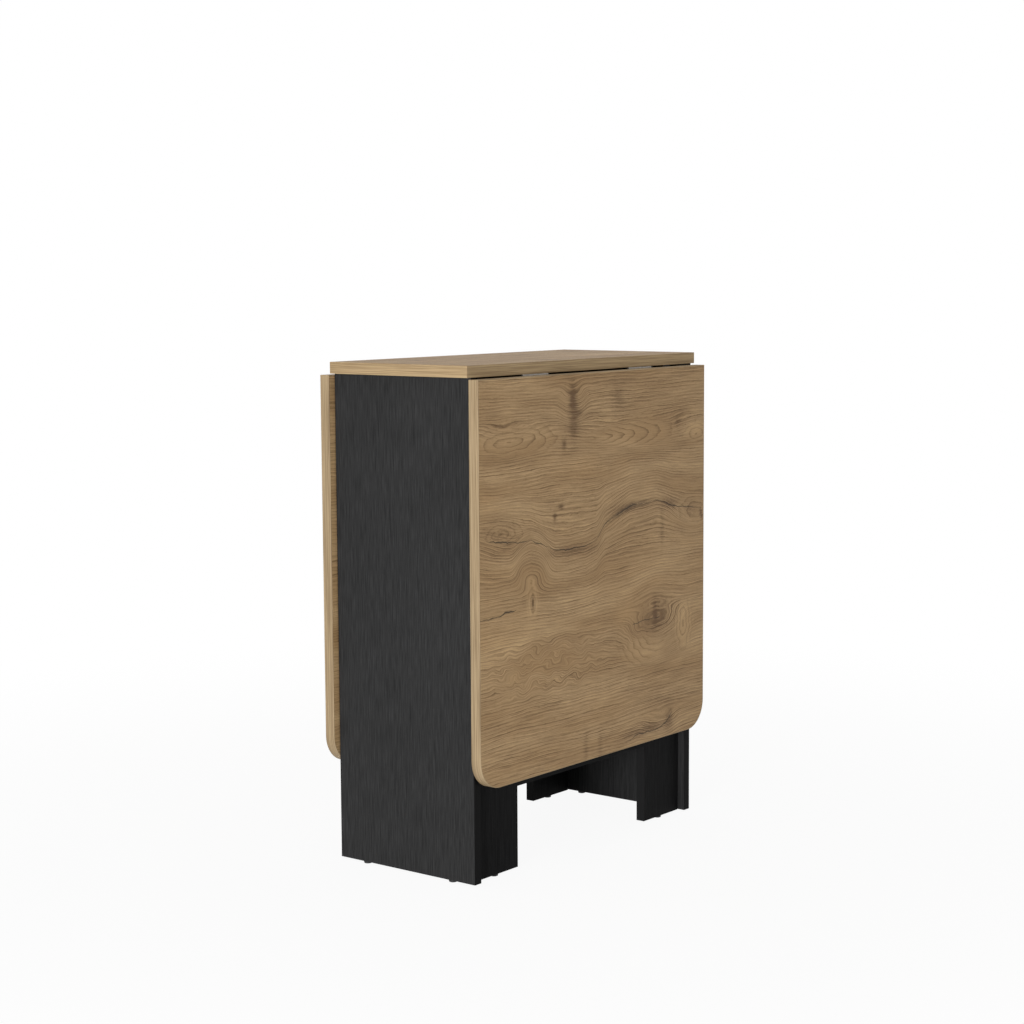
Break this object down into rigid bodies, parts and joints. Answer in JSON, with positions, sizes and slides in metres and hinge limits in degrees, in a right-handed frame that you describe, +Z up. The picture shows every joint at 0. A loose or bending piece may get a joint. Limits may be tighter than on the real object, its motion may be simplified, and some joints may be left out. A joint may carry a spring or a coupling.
{
  "type": "folding dining table",
  "caption": "Gate-leg folding dining table: narrow fixed top on side panels, long drop leaves on hinges, and swing-out gates that stand behind the hanging leaves.",
  "frame": {"origin": "on the floor under the middle of the folded table", "axes": "+Z up, +X along the table's length, -Y towards the front leaf"},
  "size_m": [0.6, 0.313, 0.783],
  "materials": {
    "oak_laminate": "matt oak-look laminate with knots",
    "oak_edge_band": "satin oak-look edge band",
    "black_laminate": "matt black wood-grain laminate",
    "beech_dowel": "raw beech",
    "black_plastic": "moulded",
    "grey_rubber": "soft matt",
    "zinc_cam": "die-cast zinc",
    "zinc_steel": "zinc plated"
  },
  "bodies": {
    "base": {"base_cam_bolts": "zinc_steel", "base_cam_locks": "zinc_cam", "base_dowels": "beech_dowel", "centre_panel": "black_laminate", "front_gate_hinge_panel_flaps": "zinc_steel", "front_gate_hinge_panel_screws": "zinc_steel", "front_gate_hinge_pins": "zinc_steel", "front_leaf_hinge_pins": "zinc_steel", "front_leaf_hinge_top_flaps": "zinc_steel", "front_leaf_hinge_top_screws": "zinc_steel", "gate_stop_screws": "zinc_steel", "gate_stops": "black_plastic", "left_side_panel": "black_laminate", "panel_glides": "black_plastic", "rear_gate_hinge_panel_flaps": "zinc_steel", "rear_gate_hinge_panel_screws": "zinc_steel", "rear_gate_hinge_pins": "zinc_steel", "rear_leaf_hinge_pins": "zinc_steel", "rear_leaf_hinge_top_flaps": "zinc_steel", "rear_leaf_hinge_top_screws": "zinc_steel", "right_side_panel": "black_laminate", "top_board": "oak_laminate", "top_edge_bands": "oak_edge_band"},
    "front_leaf": {"front_leaf_board": "oak_laminate", "front_leaf_edge_bands": "oak_edge_band", "front_leaf_hinge_leaf_flaps": "zinc_steel", "front_leaf_hinge_leaf_screws": "zinc_steel"},
    "rear_leaf": {"rear_leaf_board": "oak_laminate", "rear_leaf_edge_bands": "oak_edge_band", "rear_leaf_hinge_leaf_flaps": "zinc_steel", "rear_leaf_hinge_leaf_screws": "zinc_steel"},
    "front_gate": {"front_gate_bumper_pads": "grey_rubber", "front_gate_cam_bolts": "zinc_steel", "front_gate_cam_locks": "zinc_cam", "front_gate_dowels": "beech_dowel", "front_gate_free_stile": "black_laminate", "front_gate_glides": "black_plastic", "front_gate_hinge_gate_flaps": "zinc_steel", "front_gate_hinge_gate_screws": "zinc_steel", "front_gate_hinge_stile": "black_laminate", "front_gate_lower_rail": "black_laminate", "front_gate_upper_rail": "black_laminate"},
    "rear_gate": {"rear_gate_bumper_pads": "grey_rubber", "rear_gate_cam_bolts": "zinc_steel", "rear_gate_cam_locks": "zinc_cam", "rear_gate_dowels": "beech_dowel", "rear_gate_free_stile": "black_laminate", "rear_gate_glides": "black_plastic", "rear_gate_hinge_gate_flaps": "zinc_steel", "rear_gate_hinge_gate_screws": "zinc_steel", "rear_gate_hinge_stile": "black_laminate", "rear_gate_lower_rail": "black_laminate", "rear_gate_upper_rail": "black_laminate"}
  },
  "joints": [
    {"name": "front_leaf_lift", "type": "hinge", "parent": "base", "child": "front_leaf", "pos_m": [0, -0.1365, 0.763], "axis": [-1, 0, 0], "range_deg": [0, 90]},
    {"name": "rear_leaf_lift", "type": "hinge", "parent": "base", "child": "rear_leaf", "pos_m": [0, 0.1365, 0.763], "axis": [1, 0, 0], "range_deg": [0, 90]},
    {"name": "front_gate_swing", "type": "hinge", "parent": "base", "child": "front_gate", "pos_m": [-0.2727, -0.1235, 0.4], "axis": [0, 0, -1], "range_deg": [0, 1.5]},
    {"name": "rear_gate_swing", "type": "hinge", "parent": "base", "child": "rear_gate", "pos_m": [0.2727, 0.1235, 0.4], "axis": [0, 0, -1], "range_deg": [0, 1.5]}
  ]
}
